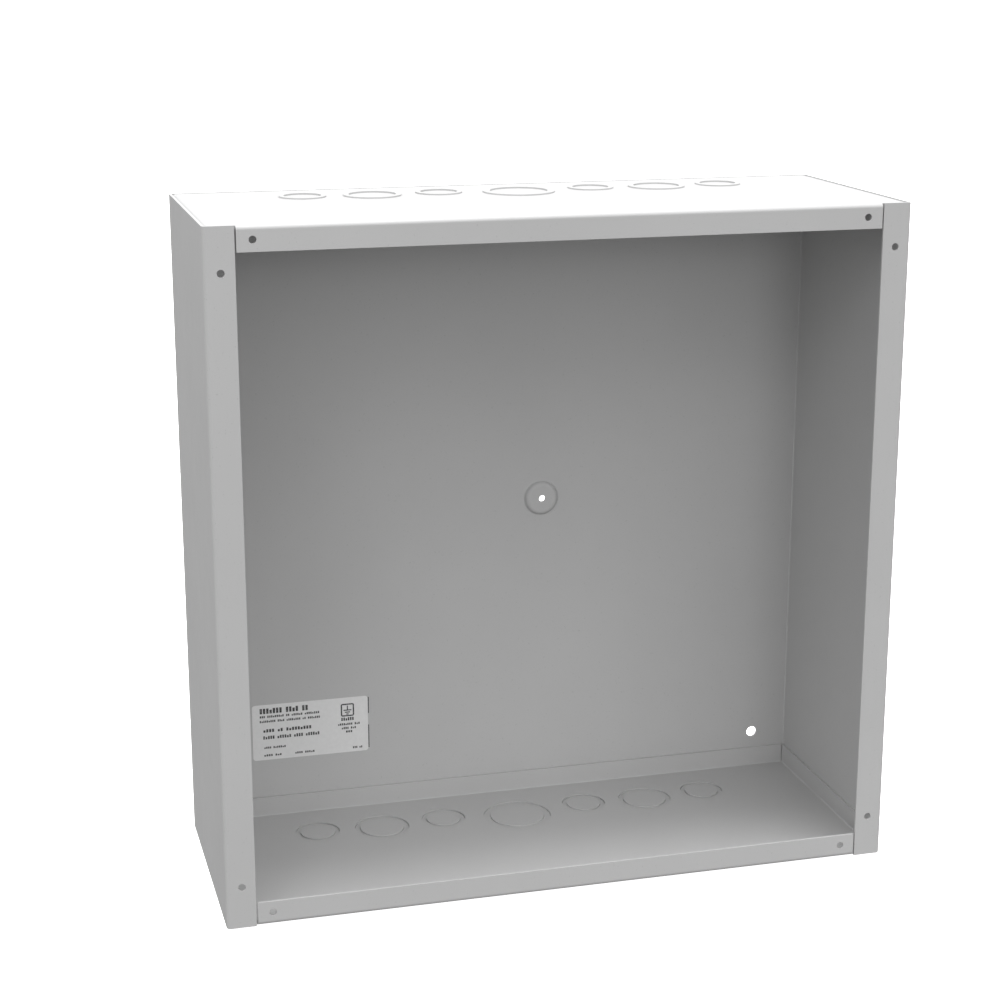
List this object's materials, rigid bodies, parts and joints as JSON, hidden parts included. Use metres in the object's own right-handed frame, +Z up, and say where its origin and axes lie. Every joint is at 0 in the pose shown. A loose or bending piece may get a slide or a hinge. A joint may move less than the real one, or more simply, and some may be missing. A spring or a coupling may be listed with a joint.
{
  "type": "surface-mount pull box",
  "caption": "Square shallow steel wall box, open at the front, with screw-hole flanges round the mouth and rows of double conduit knockouts in both ends.",
  "frame": {"origin": "centre of the footprint, on the plane of the lowest faces, those of the bottom knockout rings", "axes": "+X right and +Y to the back as seen from the open front, +Z up"},
  "size_m": [0.4096, 0.1556, 0.408],
  "materials": {
    "painted_steel": "satin grey enamel",
    "label_stock": "matte printed film"
  },
  "bodies": {
    "enclosure": {"wrapper": "painted_steel", "top_end_cap": "painted_steel", "bottom_end_cap": "painted_steel", "rating_label": "label_stock"},
    "top_knockout_ring_1": {"top_knockout_ring_1": "painted_steel"},
    "top_knockout_slug_1": {"top_knockout_slug_1": "painted_steel"},
    "top_knockout_ring_2": {"top_knockout_ring_2": "painted_steel"},
    "top_knockout_slug_2": {"top_knockout_slug_2": "painted_steel"},
    "top_knockout_ring_3": {"top_knockout_ring_3": "painted_steel"},
    "top_knockout_slug_3": {"top_knockout_slug_3": "painted_steel"},
    "top_knockout_ring_4": {"top_knockout_ring_4": "painted_steel"},
    "top_knockout_slug_4": {"top_knockout_slug_4": "painted_steel"},
    "top_knockout_ring_5": {"top_knockout_ring_5": "painted_steel"},
    "top_knockout_slug_5": {"top_knockout_slug_5": "painted_steel"},
    "top_knockout_ring_6": {"top_knockout_ring_6": "painted_steel"},
    "top_knockout_slug_6": {"top_knockout_slug_6": "painted_steel"},
    "top_knockout_ring_7": {"top_knockout_ring_7": "painted_steel"},
    "top_knockout_slug_7": {"top_knockout_slug_7": "painted_steel"},
    "bottom_knockout_ring_1": {"bottom_knockout_ring_1": "painted_steel"},
    "bottom_knockout_slug_1": {"bottom_knockout_slug_1": "painted_steel"},
    "bottom_knockout_ring_2": {"bottom_knockout_ring_2": "painted_steel"},
    "bottom_knockout_slug_2": {"bottom_knockout_slug_2": "painted_steel"},
    "bottom_knockout_ring_3": {"bottom_knockout_ring_3": "painted_steel"},
    "bottom_knockout_slug_3": {"bottom_knockout_slug_3": "painted_steel"},
    "bottom_knockout_ring_4": {"bottom_knockout_ring_4": "painted_steel"},
    "bottom_knockout_slug_4": {"bottom_knockout_slug_4": "painted_steel"},
    "bottom_knockout_ring_5": {"bottom_knockout_ring_5": "painted_steel"},
    "bottom_knockout_slug_5": {"bottom_knockout_slug_5": "painted_steel"},
    "bottom_knockout_ring_6": {"bottom_knockout_ring_6": "painted_steel"},
    "bottom_knockout_slug_6": {"bottom_knockout_slug_6": "painted_steel"},
    "bottom_knockout_ring_7": {"bottom_knockout_ring_7": "painted_steel"},
    "bottom_knockout_slug_7": {"bottom_knockout_slug_7": "painted_steel"}
  },
  "joints": [
    {"name": "top_knockout_ring_1_tie", "type": "hinge", "parent": "enclosure", "child": "top_knockout_ring_1", "pos_m": [-0.1302, 0.05528, 0.408], "axis": [-1, 0, 0], "range_deg": [0, 90]},
    {"name": "top_knockout_slug_1_tie", "type": "hinge", "parent": "top_knockout_ring_1", "child": "top_knockout_slug_1", "pos_m": [-0.1302, 0.03012, 0.4055], "axis": [-1, 0, 0], "range_deg": [0, 90]},
    {"name": "top_knockout_ring_2_tie", "type": "hinge", "parent": "enclosure", "child": "top_knockout_ring_2", "pos_m": [-0.0889, 0.05528, 0.408], "axis": [-1, 0, 0], "range_deg": [0, 90]},
    {"name": "top_knockout_slug_2_tie", "type": "hinge", "parent": "top_knockout_ring_2", "child": "top_knockout_slug_2", "pos_m": [-0.0889, 0.02377, 0.4055], "axis": [-1, 0, 0], "range_deg": [0, 90]},
    {"name": "top_knockout_ring_3_tie", "type": "hinge", "parent": "enclosure", "child": "top_knockout_ring_3", "pos_m": [-0.0476, 0.05528, 0.408], "axis": [-1, 0, 0], "range_deg": [0, 90]},
    {"name": "top_knockout_slug_3_tie", "type": "hinge", "parent": "top_knockout_ring_3", "child": "top_knockout_slug_3", "pos_m": [-0.0476, 0.03012, 0.4055], "axis": [-1, 0, 0], "range_deg": [0, 90]},
    {"name": "top_knockout_ring_4_tie", "type": "hinge", "parent": "enclosure", "child": "top_knockout_ring_4", "pos_m": [0, 0.05528, 0.408], "axis": [-1, 0, 0], "range_deg": [0, 90]},
    {"name": "top_knockout_slug_4_tie", "type": "hinge", "parent": "top_knockout_ring_4", "child": "top_knockout_slug_4", "pos_m": [0, 0.01602, 0.4055], "axis": [-1, 0, 0], "range_deg": [0, 90]},
    {"name": "top_knockout_ring_5_tie", "type": "hinge", "parent": "enclosure", "child": "top_knockout_ring_5", "pos_m": [0.0476, 0.05528, 0.408], "axis": [-1, 0, 0], "range_deg": [0, 90]},
    {"name": "top_knockout_slug_5_tie", "type": "hinge", "parent": "top_knockout_ring_5", "child": "top_knockout_slug_5", "pos_m": [0.0476, 0.03012, 0.4055], "axis": [-1, 0, 0], "range_deg": [0, 90]},
    {"name": "top_knockout_ring_6_tie", "type": "hinge", "parent": "enclosure", "child": "top_knockout_ring_6", "pos_m": [0.0889, 0.05528, 0.408], "axis": [-1, 0, 0], "range_deg": [0, 90]},
    {"name": "top_knockout_slug_6_tie", "type": "hinge", "parent": "top_knockout_ring_6", "child": "top_knockout_slug_6", "pos_m": [0.0889, 0.02377, 0.4055], "axis": [-1, 0, 0], "range_deg": [0, 90]},
    {"name": "top_knockout_ring_7_tie", "type": "hinge", "parent": "enclosure", "child": "top_knockout_ring_7", "pos_m": [0.1302, 0.05528, 0.408], "axis": [-1, 0, 0], "range_deg": [0, 90]},
    {"name": "top_knockout_slug_7_tie", "type": "hinge", "parent": "top_knockout_ring_7", "child": "top_knockout_slug_7", "pos_m": [0.1302, 0.03012, 0.4055], "axis": [-1, 0, 0], "range_deg": [0, 90]},
    {"name": "bottom_knockout_ring_1_tie", "type": "hinge", "parent": "enclosure", "child": "bottom_knockout_ring_1", "pos_m": [-0.1302, 0.05528, 0], "axis": [1, 0, 0], "range_deg": [0, 90]},
    {"name": "bottom_knockout_slug_1_tie", "type": "hinge", "parent": "bottom_knockout_ring_1", "child": "bottom_knockout_slug_1", "pos_m": [-0.1302, 0.03012, 0.0025], "axis": [1, 0, 0], "range_deg": [0, 90]},
    {"name": "bottom_knockout_ring_2_tie", "type": "hinge", "parent": "enclosure", "child": "bottom_knockout_ring_2", "pos_m": [-0.0889, 0.05528, 0], "axis": [1, 0, 0], "range_deg": [0, 90]},
    {"name": "bottom_knockout_slug_2_tie", "type": "hinge", "parent": "bottom_knockout_ring_2", "child": "bottom_knockout_slug_2", "pos_m": [-0.0889, 0.02377, 0.0025], "axis": [1, 0, 0], "range_deg": [0, 90]},
    {"name": "bottom_knockout_ring_3_tie", "type": "hinge", "parent": "enclosure", "child": "bottom_knockout_ring_3", "pos_m": [-0.0476, 0.05528, 0], "axis": [1, 0, 0], "range_deg": [0, 90]},
    {"name": "bottom_knockout_slug_3_tie", "type": "hinge", "parent": "bottom_knockout_ring_3", "child": "bottom_knockout_slug_3", "pos_m": [-0.0476, 0.03012, 0.0025], "axis": [1, 0, 0], "range_deg": [0, 90]},
    {"name": "bottom_knockout_ring_4_tie", "type": "hinge", "parent": "enclosure", "child": "bottom_knockout_ring_4", "pos_m": [0, 0.05528, 0], "axis": [1, 0, 0], "range_deg": [0, 90]},
    {"name": "bottom_knockout_slug_4_tie", "type": "hinge", "parent": "bottom_knockout_ring_4", "child": "bottom_knockout_slug_4", "pos_m": [0, 0.01602, 0.0025], "axis": [1, 0, 0], "range_deg": [0, 90]},
    {"name": "bottom_knockout_ring_5_tie", "type": "hinge", "parent": "enclosure", "child": "bottom_knockout_ring_5", "pos_m": [0.0476, 0.05528, 0], "axis": [1, 0, 0], "range_deg": [0, 90]},
    {"name": "bottom_knockout_slug_5_tie", "type": "hinge", "parent": "bottom_knockout_ring_5", "child": "bottom_knockout_slug_5", "pos_m": [0.0476, 0.03012, 0.0025], "axis": [1, 0, 0], "range_deg": [0, 90]},
    {"name": "bottom_knockout_ring_6_tie", "type": "hinge", "parent": "enclosure", "child": "bottom_knockout_ring_6", "pos_m": [0.0889, 0.05528, 0], "axis": [1, 0, 0], "range_deg": [0, 90]},
    {"name": "bottom_knockout_slug_6_tie", "type": "hinge", "parent": "bottom_knockout_ring_6", "child": "bottom_knockout_slug_6", "pos_m": [0.0889, 0.02377, 0.0025], "axis": [1, 0, 0], "range_deg": [0, 90]},
    {"name": "bottom_knockout_ring_7_tie", "type": "hinge", "parent": "enclosure", "child": "bottom_knockout_ring_7", "pos_m": [0.1302, 0.05528, 0], "axis": [1, 0, 0], "range_deg": [0, 90]},
    {"name": "bottom_knockout_slug_7_tie", "type": "hinge", "parent": "bottom_knockout_ring_7", "child": "bottom_knockout_slug_7", "pos_m": [0.1302, 0.03012, 0.0025], "axis": [1, 0, 0], "range_deg": [0, 90]}
  ]
}
